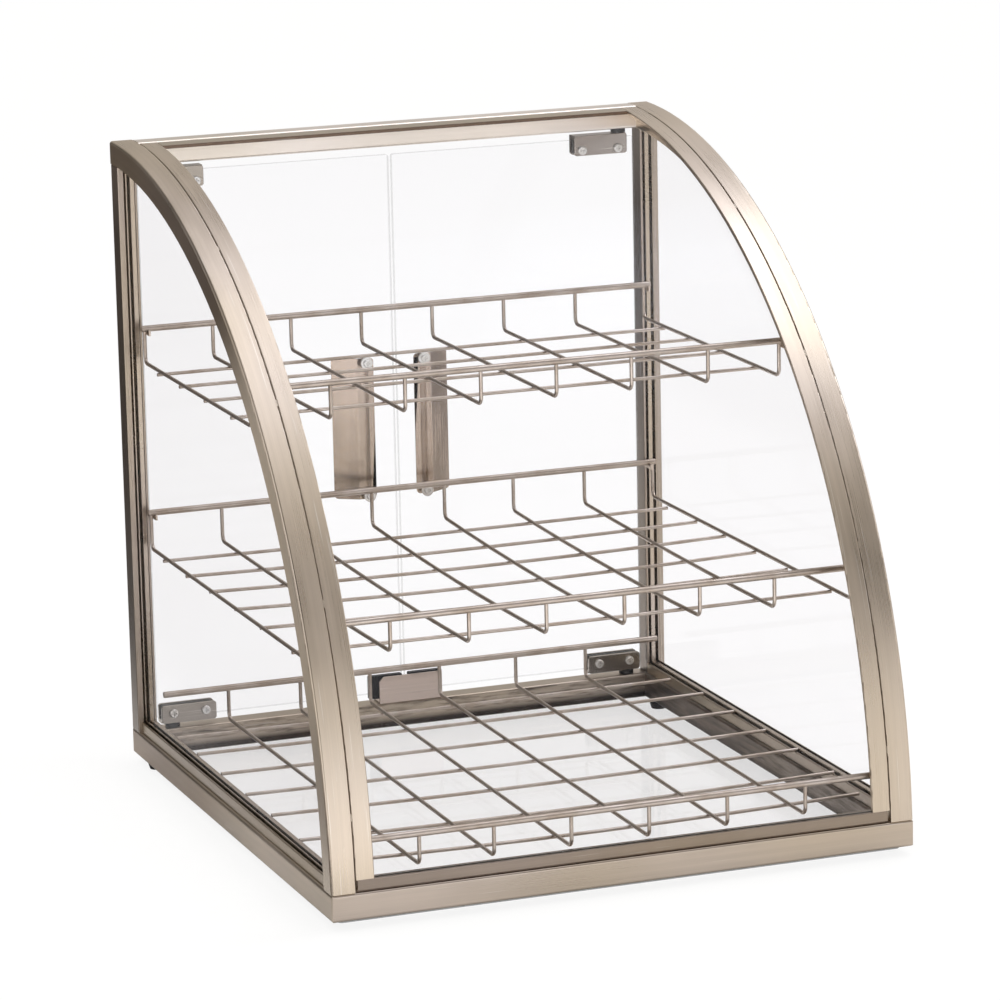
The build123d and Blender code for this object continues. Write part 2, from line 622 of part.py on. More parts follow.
# Distance along the wing at which its rear face meets the rear face of the flange.
rear_bend = (HANDLE_T - skin_dy) / wing_dy
with BuildPart() as door_handle:
    with BuildSketch(Plane.XY.offset(to_z(HANDLE_Z[0]))):
        with BuildLine():
            Polyline(
                plan(HANDLE_FLANGE_X, DOOR_Y1),
                plan(HANDLE_BEND_X, DOOR_Y1),
                plan(tip_x, tip_y),
                plan(tip_x + skin_dx, tip_y + skin_dy),
                plan(HANDLE_BEND_X + skin_dx + rear_bend * wing_dx, flange_y),
                plan(HANDLE_FLANGE_X, flange_y),
                close=True)
        make_face()
    extrude(amount=HANDLE_Z[1] - HANDLE_Z[0])
    # Convex side of the bend, then the corners of the wing tip and of the flange.
    fillet([edge for edge in door_handle.edges().filter_by(Axis.Z)
            if abs(edge.center().X - to_x(HANDLE_BEND_X)) < 0.05], 1.8)
    fillet([edge for edge in door_handle.edges()
            if abs(edge.length - HANDLE_T) < 0.02
            and (edge.center().Y > to_y(549)
                 or edge.center().X > to_x(HANDLE_FLANGE_X - 0.5))], 3.5)
    for z in HANDLE_SCREW_Z:
        rod_y(CLEAR_D, HANDLE_X, DOOR_Y1 - 1, DOOR_Y1 + 4, z, Mode.SUBTRACT)
keep_pair("door_handle", door_handle.part)

# Each handle screw has a wide collar under its head, against the glass.
with BuildPart() as handle_screws:
    for z in HANDLE_SCREW_Z:
        rod_y(11.0, HANDLE_X, HANDLE_WASHER_Y0, DOOR_Y0, z)
        rod_y(7.0, HANDLE_X, HANDLE_HEAD_Y0, HANDLE_WASHER_Y0, z)
        rod_y(M4, HANDLE_X, DOOR_Y0, 543.0, z)
    fillet(circles_at_y(handle_screws, HANDLE_HEAD_Y0), 1.0)
    fillet([edge for edge in circles_at_y(handle_screws, HANDLE_WASHER_Y0)
            if edge.radius > 5], 0.5)
    for z in HANDLE_SCREW_Z:
        cross_recess(HANDLE_X, z, 528, HANDLE_HEAD_Y0 + 1.4, SLOT_HALF_L, SLOT_HALF_W)
keep_pair("handle_screws", handle_screws.part)

with BuildPart() as handle_nuts:
    for z in HANDLE_SCREW_Z:
        with BuildSketch(Plane(origin=point(HANDLE_X, flange_y, z),
                               x_dir=(1, 0, 0), z_dir=(0, 1, 0))):
            RegularPolygon(3.5, 6, major_radius=False)
            Circle(M4 / 2, mode=Mode.SUBTRACT)
        extrude(amount=3.2)
keep_pair("handle_nuts", handle_nuts.part)

with BuildPart() as door_magnet:
    block(215.5, 247, 527.4, DOOR_Y0, 27, 48.2)
    fillet(door_magnet.edges().filter_by(Axis.Y), 1.2)
    fillet(door_magnet.faces().sort_by(Axis.Y)[0].edges(), 0.6)
keep_pair("door_magnet", door_magnet.part)


# ================================================================== shelves
# Each shelf is a wire basket: two end rails, long wires bent up to meet them,
# and cross wires welded underneath. The middle of a basket may hang a little.
def hang(x):
    """Share of the full hang at this distance from the left face, 0 at the sides."""
    return max(0.0, 1.0 - ((x - WIDTH / 2) / HANG_REACH) ** 2)


def bent_path(x_rear, x_front, rear, front, z_long, drop):
    """Centre line of a long wire, from the rear rail to the front rail."""
    share = hang((x_rear + x_front) / 2)
    z_rear, z_front, sag = z_long - drop[0] * share, z_long - drop[1] * share, drop[2] * share
    if sag < 0.1:
        with BuildLine() as path:
            FilletPolyline(point(x_rear, *rear), point(x_rear, rear[0], z_rear),
                           point(x_front, front[0], z_front), point(x_front, *front),
                           radius=BEND_R)
        return path.line
    across, along = x_front - x_rear, front[0] - rear[0]
    length = math.hypot(across, along)
    # The belly spans what the two bends leave, and they depend on its slope: iterate.
    tilt = 0.0
    for _ in range(8):
        tilt = 2 * math.atan(2 * sag / (length - 2 * BEND_R * (1 - math.sin(tilt))))
    belly_r = sag / (1 - math.cos(tilt))
    turn = 90 - math.degrees(tilt)
    z_bend = z_long + BEND_R * math.cos(tilt)
    with BuildLine() as path:
        down = Line((0, rear[1]), (0, z_bend))
        first = JernArc(down @ 1, (0, -1), BEND_R, turn)
        belly = JernArc(first @ 1, first % 1, belly_r, 2 * math.degrees(tilt))
        last = JernArc(belly @ 1, belly % 1, BEND_R, turn)
        Line(last @ 1, (length, front[1]))
    plane = Plane(origin=point(x_rear, rear[0], 0), x_dir=(across, along, 0),
                  z_dir=(along, -across, 0))
    return path.line.moved(plane.location)


for shelf, layout in SHELVES.items():
    rear, front, z_long, drop = (layout[key] for key in ("rear", "front", "z", "drop"))

    with BuildPart() as shelf_rails:
        rod_x(RAIL_D, *layout["rear_x"], *rear)
        rod_x(RAIL_D, *layout["front_x"], *front)
        fillet(shelf_rails.edges().filter_by(GeomType.CIRCLE), 0.8)
    keep(shelf + "_shelf_rails", shelf_rails.part)

    with BuildPart() as shelf_long_wires:
        for x_rear, x_front in layout["long"]:
            path = bent_path(x_rear, x_front, rear, front, z_long, drop)
            with BuildSketch(Plane(origin=path @ 0, z_dir=path % 0)):
                Circle(LONG_D / 2)
            sweep(path=path)
        add(shelf_rails.part, mode=Mode.SUBTRACT)
    keep(shelf + "_shelf_long_wires", shelf_long_wires.part)

    with BuildPart() as shelf_cross_wires:
        # In a hanging basket the cross wires sit a little lower.
        z_cross = z_long - (LONG_D + CROSS_D) / 2 - (0.12 if any(drop) else 0.0)
        for y, x0, x1 in layout["cross"]:
            share = (rear[0] - y) / (rear[0] - front[0])
            sag = (drop[0] + (drop[1] - drop[0]) * share
                   + drop[2] * (1 - (2 * share - 1) ** 2))
            with BuildLine() as bow:
                if sag < 0.1:
                    Line(point(x0, y, z_cross), point(x1, y, z_cross))
                else:
                    ThreePointArc(point(x0, y, z_cross),
                                  point((x0 + x1) / 2, y, z_cross - sag),
                                  point(x1, y, z_cross))
            with BuildSketch(Plane(origin=bow.line @ 0, z_dir=bow.line % 0)):
                Circle(CROSS_D / 2)
            sweep(path=bow.line)
        if not any(drop):
            fillet(shelf_cross_wires.edges().filter_by(GeomType.CIRCLE), 0.5)
    keep(shelf + "_shelf_cross_wires", shelf_cross_wires.part)

os.makedirs("parts", exist_ok=True)
for name, part in pieces.items():
    export_step(part, "parts/" + name + ".step")
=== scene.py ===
"""Countertop display case: brushed steel frame, bent glass front, two rear doors, wire shelves.

X runs left to right, the front faces -Y and Z is up. The CAD pieces keep their shapes; this
script gives them materials and rounded edges, then adds the floor, lights and camera.
"""
import bpy
import bmesh
import math
from mathutils import Vector, Matrix

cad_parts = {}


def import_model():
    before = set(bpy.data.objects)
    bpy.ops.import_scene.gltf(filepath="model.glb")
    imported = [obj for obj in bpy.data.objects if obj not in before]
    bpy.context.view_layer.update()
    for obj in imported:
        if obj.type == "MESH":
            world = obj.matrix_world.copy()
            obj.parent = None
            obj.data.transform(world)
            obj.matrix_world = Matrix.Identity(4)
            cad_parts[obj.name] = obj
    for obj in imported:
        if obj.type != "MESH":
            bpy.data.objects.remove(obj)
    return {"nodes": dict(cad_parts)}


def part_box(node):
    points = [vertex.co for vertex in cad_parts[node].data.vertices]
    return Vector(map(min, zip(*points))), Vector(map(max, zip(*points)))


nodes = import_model()["nodes"]
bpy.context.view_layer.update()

scene = bpy.context.scene
scene.view_settings.view_transform = "Standard"
scene.view_settings.look = "None"

# ---------------------------------------------------------------- places and sizes, in metres
FRONT_RAIL_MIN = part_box("base_front_rail")[0]
BASE_Z = FRONT_RAIL_MIN.z
# centre and outer radius of the curve that the arches and the front pane follow
ARC_Y = FRONT_RAIL_MIN.y + 0.552
ARC_Z = BASE_Z - 0.0092
ARC_RADIUS = 0.5528
BUMP_DEPTH = 0.0002
FLOOR_HALF = 40.0

SIDES = ("left", "right")
SHELVES = ("top", "middle", "bottom")


# ---------------------------------------------------------------- node helpers
class Net:
    """Builds the node tree of a material or a world."""

    def __init__(self, owner, output="OutputMaterial"):
        self.owner = owner
        owner.use_nodes = True
        self.tree = owner.node_tree
        self.tree.nodes.clear()
        self.output = self.node(output)

    def node(self, kind, inputs=None, **props):
        """Add a node; `inputs` maps socket names or indices to values or sockets."""
        node = self.tree.nodes.new("ShaderNode" + kind)
        for key, value in props.items():
            setattr(node, key, value)
        for key, value in (inputs or {}).items():
            self.set(node.inputs[key], value)
        return node

    def set(self, socket, value):
        if isinstance(value, bpy.types.NodeSocket):
            self.tree.links.new(value, socket)
        elif socket.type == "RGBA" and len(value) == 3:
            socket.default_value = (*value, 1.0)
        else:
            socket.default_value = value

    def finish(self, surface):
        """Link the surface shader to the output and return the material or world."""
        self.set(self.output.inputs["Surface"], surface)
        return self.owner

    def shader(self, kind, inputs):
        return self.node(kind, inputs).outputs[0]

    def blend(self, factor, first, second):
        return self.shader("MixShader", {0: factor, 1: first, 2: second})

    def math(self, operation, *values):
        return self.node("Math", dict(enumerate(values)), operation=operation).outputs[0]

    def add(self, a, b):
        return self.math("ADD", a, b)

    def sub(self, a, b):
        return self.math("SUBTRACT", a, b)

    def mul(self, a, b):
        return self.math("MULTIPLY", a, b)

    def ramp(self, value, span, to=(0.0, 1.0), smooth=False):
        """Map the range `span` onto `to`, clamped at both ends."""
        inputs = {"Value": value, "From Min": span[0], "From Max": span[1],
                  "To Min": to[0], "To Max": to[1]}
        kind = "SMOOTHSTEP" if smooth else "LINEAR"
        return self.node("MapRange", inputs, interpolation_type=kind).outputs[0]

    def mix(self, factor, first, second):
        return self.node("Mix", {0: factor, 6: first, 7: second}, data_type="RGBA").outputs[2]

    def mix_float(self, factor, first, second):
        return self.node("Mix", {0: factor, 2: first, 3: second}, data_type="FLOAT").outputs[0]

    def noise(self, vector, scale, detail, roughness=0.5):
        return self.shader("TexNoise", {"Vector": vector, "Scale": scale, "Detail": detail,
                                        "Roughness": roughness})

    def stretched_noise(self, *axes, detail, roughness):
        """Noise over three (coordinate, scale) pairs."""
        vector = self.vector(*(self.mul(coord, scale) for coord, scale in axes))
        return self.noise(vector, 1.0, detail, roughness)

    def bump(self, height, strength):
        return self.shader("Bump", {"Strength": strength, "Distance": BUMP_DEPTH,
                                    "Height": height})

    def xyz(self, vector):
        return self.node("SeparateXYZ", {0: vector}).outputs

    def vector(self, x, y, z):
        return self.node("CombineXYZ", {0: x, 1: y, 2: z}).outputs[0]

    def coord(self, space):
        return self.node("TexCoord").outputs[space]


def new_net(name):
    return Net(bpy.data.materials.new(name))


def scaled(colour, factors):
    return tuple(c * factor for c, factor in zip(colour, factors))


def from_arc_centre(net, y, z):
    """Offsets in Y and Z from the arc centre, and the distance from it."""
    dy = net.sub(y, ARC_Y)
    dz = net.sub(z, ARC_Z)
    return dy, dz, net.math("SQRT", net.add(net.mul(dy, dy), net.mul(dz, dz)))


# ---------------------------------------------------------------- material builders
def grain_coords(net, grain):
    """(along, across u, across v, tangent, xyz) for metal brushed along x, y, z or the arc."""
    xyz = tuple(net.xyz(net.coord("Object")))
    if grain == "arc":
        dy, dz, radius = from_arc_centre(net, xyz[1], xyz[2])
        angle = net.math("ARCTAN2", dz, net.mul(dy, -1.0))
        tangent = net.vector(0.0, dz, net.mul(dy, -1.0))
        return net.mul(angle, ARC_RADIUS), xyz[0], radius, tangent, xyz
    axis = "xyz".index(grain)
    across_u, across_v = xyz[:axis] + xyz[axis + 1:]
    tangent = net.vector(*(float(i == axis) for i in range(3)))
    return xyz[axis], across_u, across_v, tangent, xyz


def steel(name, grain, colour=(0.605, 0.517, 0.437), roughness=0.30, streaks=0.5, cloud=0.75,
          seed=0.0, dull=0.0, dull_by=None, tint_by=None):
    """Brushed stainless: streaks along the grain, cloudy sheen, faint scratches, brown tarnish.

    `streaks` and `cloud` set contrast, `seed` shifts the pattern along the grain and `dull` takes
    metallic away. `dull_by` and `tint_by` build nodes that vary dullness and colour by place.
    """
    net = new_net(name)
    along, across_u, across_v, tangent, xyz = grain_coords(net, grain)
    shifted = net.add(along, seed)

    def brushed(along_scale, across_scale, detail, roughness):
        return net.stretched_noise(
            (shifted, along_scale), (across_u, across_scale), (across_v, across_scale),
            detail=detail, roughness=roughness)

    fine = brushed(9.0, 1400.0, detail=3.0, roughness=0.6)
    coarse = brushed(3.0, 260.0, detail=2.0, roughness=0.5)
    cloudy = brushed(9.0, 22.0, detail=2.0, roughness=0.5)
    tarnish = brushed(4.2, 8.0, detail=1.0, roughness=0.4)
    scratch = brushed(14.0, 900.0, detail=1.0, roughness=0.3)

    # brightness around 1
    shade = net.add(net.ramp(fine, (0.25, 0.75), to=(-0.10 * streaks, 0.10 * streaks)),
                    net.ramp(coarse, (0.3, 0.7), to=(-0.07 * streaks, 0.07 * streaks)))
    shade = net.add(shade, net.ramp(cloudy, (0.3, 0.7), to=(-0.10 * cloud, 0.10 * cloud)))
    shade = net.add(shade, 1.0)

    base = net.mix(net.ramp(tarnish, (0.38, 0.62), to=(0.0, 0.55)),
                   colour, scaled(colour, (0.90, 0.86, 0.70)))
    if tint_by:
        base = tint_by(net, base, along, xyz)
    lit = net.node("VectorMath", {0: base, "Scale": shade}, operation="SCALE").outputs[0]
    # only the peaks of the scratch noise show, as bright lines
    bright = net.mul(net.ramp(scratch, (0.72, 0.80)), 0.35)
    rough = net.add(
        net.ramp(fine, (0.25, 0.75), to=(roughness - 0.07 * streaks, roughness + 0.09 * streaks)),
        net.ramp(cloudy, (0.3, 0.7), to=(-0.05, 0.05)))
    world_tangent = net.node("VectorTransform", {0: tangent}, vector_type="VECTOR",
                             convert_from="OBJECT", convert_to="WORLD").outputs[0]
    return net.finish(net.shader("BsdfPrincipled", {
        "Base Color": net.mix(bright, lit, (0.95, 0.92, 0.88)),
        "Metallic": net.sub(1.0, dull_by(net, along)) if dull_by else 1.0 - dull,
        "Roughness": rough,
        "Anisotropic": 0.55,
        "Normal": net.bump(net.add(fine, net.mul(coarse, 0.6)), strength=0.12),
        "Tangent": world_tangent}))


def wire_metal(name, colour, roughness, metallic=1.0):
    """Bright plated metal with dull patches."""
    net = new_net(name)
    place = net.coord("Object")
    patch = net.noise(place, scale=38.0, detail=3.0, roughness=0.6)
    fine = net.noise(place, scale=900.0, detail=2.0)
    rough = net.add(net.ramp(patch, (0.3, 0.7), to=(roughness - 0.05, roughness + 0.12)),
                    net.ramp(fine, (0.3, 0.7), to=(-0.03, 0.03)))
    return net.finish(net.shader("BsdfPrincipled", {
        "Base Color": net.mix(net.ramp(patch, (0.38, 0.66), to=(0.0, 0.75)),
                              colour, scaled(colour, (0.74, 0.68, 0.60))),
        "Metallic": metallic,
        "Roughness": rough,
        "Normal": net.bump(fine, strength=0.10)}))


def plastic(name, colour, roughness, grain_scale, specular):
    """Dark moulded plastic with fine grain and slightly paler patches."""
    net = new_net(name)
    place = net.coord("Object")
    fine = net.noise(place, scale=grain_scale, detail=3.0, roughness=0.6)
    patch = net.noise(place, scale=60.0, detail=2.0)
    paler = tuple(c * 1.6 + 0.006 for c in colour)
    return net.finish(net.shader("BsdfPrincipled", {
        "Base Color": net.mix(net.ramp(patch, (0.35, 0.7)), colour, paler),
        "Roughness": net.ramp(fine, (0.3, 0.7), to=(roughness - 0.08, roughness + 0.1)),
        "Specular IOR Level": specular,
        "Normal": net.bump(fine, strength=0.25)}))


def glass(name, sheet_normal, tint, edge, haze, reflect=1.0, edge_solid=0.75):
    """Clear sheet: straight-through tint, a Fresnel sheen, a dusty film and tinted edges.

    `sheet_normal` is the axis index normal to the sheet, or "arc" for a sheet bent about X.
    `edge_solid` is the opaque share of the edges.
    """
    net = new_net(name)
    coords = net.node("TexCoord").outputs
    normal = net.xyz(coords["Normal"])
    if sheet_normal == "arc":
        place = net.xyz(coords["Object"])
        dy, dz, radius = from_arc_centre(net, place[1], place[2])
        dot = net.add(net.mul(normal[1], dy), net.mul(normal[2], dz))
        toward_normal = net.math("DIVIDE", dot, radius)
    else:
        toward_normal = normal[sheet_normal]
    is_edge = net.ramp(net.math("ABSOLUTE", toward_normal), (0.75, 0.60))
    smear = net.noise(coords["Object"], scale=7.0, detail=3.0, roughness=0.55)
    dust = net.noise(coords["Object"], scale=420.0, detail=2.0, roughness=0.6)

    # the refractive index inverts where a ray leaves the glass
    inside = net.node("NewGeometry").outputs["Backfacing"]
    fresnel = net.shader("Fresnel", {"IOR": net.ramp(inside, (0.0, 1.0), to=(1.45, 1.0 / 1.45))})
    clear = net.shader("BsdfTransparent", {"Color": tint})
    sheen = net.shader("BsdfGlossy", {"Color": (0.96, 0.97, 1.0),
                                      "Roughness": net.ramp(smear, (0.3, 0.7), to=(0.015, 0.06))})
    film = net.shader("BsdfDiffuse", {"Color": (0.86, 0.86, 0.88)})
    face = net.blend(net.mul(fresnel, reflect), clear, sheen)
    film_share = net.mul(net.ramp(smear, (0.35, 0.75), to=(0.3, 1.0)),
                         net.ramp(dust, (0.4, 0.7), to=(haze * 0.6, haze)))
    face = net.blend(film_share, face, film)

    edge_clear = net.shader("BsdfTransparent", {"Color": edge})
    edge_opaque = net.shader("BsdfPrincipled", {
        "Base Color": net.mix(net.ramp(dust, (0.3, 0.7)), edge, scaled(edge, (0.8, 0.85, 0.85))),
        "Roughness": 0.25,
        "Specular IOR Level": 0.5})
    rim = net.blend(edge_solid, edge_clear, edge_opaque)
    return net.finish(net.blend(is_edge, face, rim))


# ---------------------------------------------------------------- local changes to the steel
def normal_of(net):
    return net.xyz(net.coord("Normal"))


def sideways(net, span):
    """1 on faces that look left or right."""
    return net.ramp(net.math("ABSOLUTE", normal_of(net)[0]), span)


def arch_side(net, along):
    """Dulls the flat sides of the arches over a stretch of the lower curve."""
    side = sideways(net, (0.80, 0.95))
    stretch = net.mul(net.ramp(along, (0.06, 0.24), smooth=True),
                      net.ramp(along, (0.56, 0.40), smooth=True))
    return net.mul(side, net.mul(stretch, 0.60))


def post_front(net, along):
    """Dulls the front faces of the rear posts a little."""
    return net.mul(net.ramp(normal_of(net)[1], (-0.6, -0.9)), 0.30)


def post_side_painted_shade(net, base, along, xyz):
    """Paints shade on the left and right faces of the posts, fading out toward the top."""
    amount = net.mul(sideways(net, (0.7, 0.92)),
                     net.ramp(along, (0.52, 0.46), to=(0.0, 0.62), smooth=True))
    return net.mix(amount, base, (0.085, 0.066, 0.054))


def low_painted_shade_line(net, z, strength):
    """Painted shade: a dark line along the bottom of the base rails."""
    return net.ramp(z, (BASE_Z + 0.0105, BASE_Z + 0.0045), to=(0.0, strength))


def rear_rail_inner(net, base, along, xyz):
    """The rear rail's forward face: uneven dark patches, and painted shade as a dark line low
    down.
    """
    inward = net.math("MAXIMUM", net.ramp(normal_of(net)[1], (-0.55, -0.85)), 0.0)
    # painted shade along the bottom of the face
    low = low_painted_shade_line(net, xyz[2], strength=1.0)
    dark_mottle = net.stretched_noise((along, 30.0), (xyz[2], 260.0), (xyz[1], 60.0),
                               detail=3.0, roughness=0.65)
    patches = net.ramp(dark_mottle, (0.45, 0.68), to=(0.12, 0.85))
    amount = net.mul(inward, net.math("MAXIMUM", low, patches))
    return net.mix(amount, base, (0.055, 0.042, 0.035))


def side_rail_inner(net, base, along, xyz):
    """The side rails: uneven dark patches and a painted shade line on the inner parts, and
    painted shade on the sideways faces, deepening toward the rear.
    """
    inner = net.ramp(net.math("ABSOLUTE", xyz[0]), (0.2345, 0.2375), to=(1.0, 0.0))
    # painted shade along the bottom of the inner parts
    low = low_painted_shade_line(net, xyz[2], strength=0.8)
    dark_mottle = net.stretched_noise((along, 24.0), (xyz[2], 210.0), (xyz[0], 210.0),
                               detail=3.0, roughness=0.7)
    patches = net.ramp(dark_mottle, (0.36, 0.70), to=(0.42, 0.86))
    amount = net.mul(inner, net.math("MAXIMUM", low, patches))
    # painted shade: the sideways faces darken toward the rear
    rearward = net.mul(net.ramp(xyz[1], (-0.10, 0.10), to=(0.0, 0.62), smooth=True),
                       sideways(net, (0.7, 0.95)))
    rear_painted_shade = net.mix(rearward, base, (0.24, 0.175, 0.135))
    return net.mix(amount, rear_painted_shade, (0.06, 0.045, 0.037))


def front_edge_painted_shade(net, base, along, xyz):
    """Paints shade on the front edge of the top strip."""
    return net.mix(net.ramp(normal_of(net)[1], (-0.80, -0.93)), base, (0.16, 0.115, 0.088))


# ---------------------------------------------------------------- materials on the pieces
def assign(material, *names):
    for name in names:
        piece = nodes[name]
        if not piece.material_slots:
            piece.data.materials.append(material)
        for slot in piece.material_slots:
            slot.material = material


def both(name):
    return [f"{side}_{name}" for side in SIDES]


# frame
assign(steel("steel_arc", "arc"), *both("arch_strip"))
assign(steel("steel_arc_tube", "arc", dull_by=arch_side), *both("arch"))
# rear posts: painted shade on their sideways faces
assign(steel("steel_z_post", "z", colour=(0.455, 0.385, 0.33), dull_by=post_front,
             tint_by=post_side_painted_shade), *both("rear_post"))
assign(steel("steel_x_sill", "x", colour=(0.30, 0.245, 0.205), roughness=0.32), "front_sill")
assign(steel("steel_x_front", "x", colour=(0.53, 0.45, 0.385), roughness=0.32, seed=3.1),
       "base_front_rail")
assign(steel("steel_x_back", "x", colour=(0.58, 0.50, 0.43), roughness=0.34, seed=7.7,
             tint_by=rear_rail_inner), "base_rear_rail")
assign(steel("steel_y_base", "y", colour=(0.60, 0.52, 0.45), roughness=0.34, seed=1.9,
             tint_by=side_rail_inner), "base_left_rail", "base_right_rail")
assign(steel("steel_y_lip", "y", colour=(0.50, 0.43, 0.36), roughness=0.32, seed=5.3),
       *both("bottom_rail"))
# top strip: painted shade on its front edge
assign(steel("steel_x_topstrip", "x", colour=(0.60, 0.53, 0.45), roughness=0.34,
             tint_by=front_edge_painted_shade), "top_strip")
assign(steel("steel_arc_trim", "arc", colour=(0.52, 0.45, 0.39), roughness=0.28),
       *both("glazing_channel"))
assign(steel("weld_ground", "arc", colour=(0.56, 0.49, 0.41), roughness=0.36, streaks=0.8),
       "strip_tack_welds")
assign(steel("steel_x_plate", "x", colour=(0.66, 0.55, 0.48), roughness=0.34),
       "door_strike_plate")
# the top rear rail is painted near white, far lighter than the other steel: painted light
assign(steel("steel_x_top", "x", colour=(0.90, 0.835, 0.80), roughness=0.36, streaks=0.35,
             dull=0.15), "top_rear_rail")
assign(steel("steel_y_clip", "y", roughness=0.33), "shelf_support_clips")

# small parts
black = plastic("black_plastic", (0.012, 0.012, 0.013), roughness=0.45, grain_scale=600.0,
                specular=0.4)
screw = wire_metal("screw_bright", (0.86, 0.85, 0.83), roughness=0.16, metallic=0.55)
assign(black, "pivot_bushings")
assign(plastic("rubber_black", (0.015, 0.015, 0.016), roughness=0.7, grain_scale=900.0,
               specular=0.25), "rubber_feet")
assign(screw, "foot_screws")

# fixed glazing
assign(glass("floor_clear", 2, tint=(0.990, 0.987, 0.985), edge=(0.6, 0.6, 0.6), haze=0.01,
             reflect=0.50), "floor_panel")
assign(glass("glass_front", "arc", tint=(0.991, 0.990, 0.993), edge=(0.62, 0.60, 0.58),
             haze=0.006, reflect=0.14), "curved_front_pane")
assign(glass("glass_side", 0, tint=(0.987, 0.984, 0.987), edge=(0.6, 0.58, 0.56), haze=0.006,
             reflect=0.20), *both("side_glass"))

# doors
door_glass = glass("glass_door", 1, tint=(0.992, 0.991, 0.994), edge=(0.86, 0.86, 0.86),
                   haze=0.006, reflect=0.20, edge_solid=0.15)
pad = glass("pad_clear", 1, tint=(0.90, 0.91, 0.91), edge=(0.62, 0.64, 0.64), haze=0.05)
hinge = steel("steel_x_hinge", "x", colour=(0.42, 0.385, 0.365), roughness=0.26, streaks=0.25,
              cloud=0.4)
# the same steel on both handles: the left painted darker as painted shade, the right lighter as
# painted light
HANDLE_LIT_AND_SHADED_COLOURS = {"left": (0.50, 0.415, 0.35), "right": (0.66, 0.555, 0.475)}
for side in SIDES:
    assign(door_glass, f"{side}_door_glass")
    assign(hinge, *(f"{side}_{level}_hinge_{part}"
                    for part in ("clamp", "plate") for level in ("upper", "lower")))
    assign(pad, f"{side}_hinge_pads")
    assign(screw, *(f"{side}_{part}"
                    for part in ("hinge_screws", "pivot_pins", "handle_screws", "handle_nuts")))
    assign(steel(f"steel_z_handle_{side}_", "z", colour=HANDLE_LIT_AND_SHADED_COLOURS[side], roughness=0.22,
                 streaks=0.6, cloud=1.8), f"{side}_door_handle")
    assign(black, f"{side}_door_magnet")

# shelves
assign(wire_metal("shelf_wire", (0.535, 0.465, 0.405), roughness=0.34),
       *(f"{shelf}_shelf_{part}"
         for shelf in SHELVES for part in ("rails", "long_wires", "cross_wires")))

# ---------------------------------------------------------------- edge rounding
# bevel width: pieces
ROUNDING = {
    0.0004: ["door_strike_plate", *both("door_glass"), *both("upper_hinge_clamp"),
             *both("lower_hinge_clamp")],
    0.0003: ["shelf_support_clips", "curved_front_pane", "floor_panel", *both("door_handle")],
}


def round_edges(piece, width):
    """Drop the CAD normals, shade smooth and bevel the sharp edges."""
    attributes = piece.data.attributes
    if "custom_normal" in attributes:
        attributes.remove(attributes["custom_normal"])
    for polygon in piece.data.polygons:
        polygon.use_smooth = True
    weld = piece.modifiers.new("weld", "WELD")
    weld.merge_threshold = 0.000002
    bevel = piece.modifiers.new("edge", "BEVEL")
    bevel.width = width
    bevel.segments = 2
    bevel.limit_method = "ANGLE"
    bevel.angle_limit = math.radians(40)
    piece.modifiers.new("flat_faces", "WEIGHTED_NORMAL").keep_sharp = True


for width, names in ROUNDING.items():
    for name in names:
        round_edges(nodes[name], width)


# ---------------------------------------------------------------- floor
def floor_material():
    """White floor, evenly bright for the camera; reflections see a pale table with painted dark
    surroundings and a painted bright glowing strip.
    """
    net = new_net("stage_floor")
    rays = net.node("LightPath").outputs
    x, y, z = net.xyz(net.coord("Object"))

    def reflected(mask, share):
        return net.mul(net.mul(mask, share), rays["Is Glossy Ray"])

    def glow(colour, strength):
        return net.shader("Emission", {"Color": colour, "Strength": strength})

    diffuse = net.shader("BsdfDiffuse", {"Color": (0.93, 0.925, 0.92)})
    paper = glow((1.0, 0.998, 0.994), strength=1.04)
    surface = net.blend(net.mul(rays["Is Camera Ray"], 0.84), diffuse, paper)

    # painted reflection: seen only in reflections, the floor glows dark to the left, the right
    # and the front of the case
    to_left = net.ramp(x, (-0.265, -0.40), smooth=True)
    to_right = net.ramp(x, (0.5, 1.4), to=(0.0, 0.5), smooth=True)
    to_front = net.ramp(y, (-0.36, -0.62), to=(0.0, 0.22), smooth=True)
    far = net.math("MAXIMUM", net.math("MAXIMUM", to_left, to_right), to_front)
    dark = glow((0.085, 0.068, 0.058), strength=1.0)
    surface = net.blend(reflected(far, share=0.95), surface, dark)

    # painted reflection: a bright glow further out in front, seen only in reflections, weaker on
    # the right
    strip = net.mul(net.ramp(y, (-0.46, -0.62), smooth=True),
                    net.ramp(x, (0.55, 0.15), to=(0.25, 1.0), smooth=True))
    bright = glow((1.0, 0.985, 0.965), strength=2.1)
    return net.finish(net.blend(reflected(strip, share=0.9), surface, bright))


floor_mesh = bpy.data.meshes.new("stage_floor")
bm = bmesh.new()
bmesh.ops.create_grid(bm, x_segments=2, y_segments=2, size=FLOOR_HALF)
bm.to_mesh(floor_mesh)
bm.free()
floor = bpy.data.objects.new("stage_floor", floor_mesh)
scene.collection.objects.link(floor)
floor.data.materials.append(floor_material())

# ---------------------------------------------------------------- world
# (sweep in degrees from the front horizon over the top to the rear, brightness)
SKY_LEFT = [
    (-6.0, 2.30), (9.0, 1.85), (24.0, 0.72), (38.0, 0.38), (55.0, 0.80), (72.0, 1.28),
    (92.0, 1.18), (108.0, 0.78), (128.0, 0.48), (150.0, 0.60), (176.0, 0.40)]
SKY_RIGHT = [
    (-6.0, 0.82), (8.0, 1.08), (16.0, 1.10), (29.0, 0.11), (50.0, 0.26), (67.0, 0.80),
    (80.0, 2.10), (91.0, 3.70), (103.0, 4.20), (114.0, 2.20), (124.0, 0.86), (146.0, 0.76),
    (176.0, 0.48)]


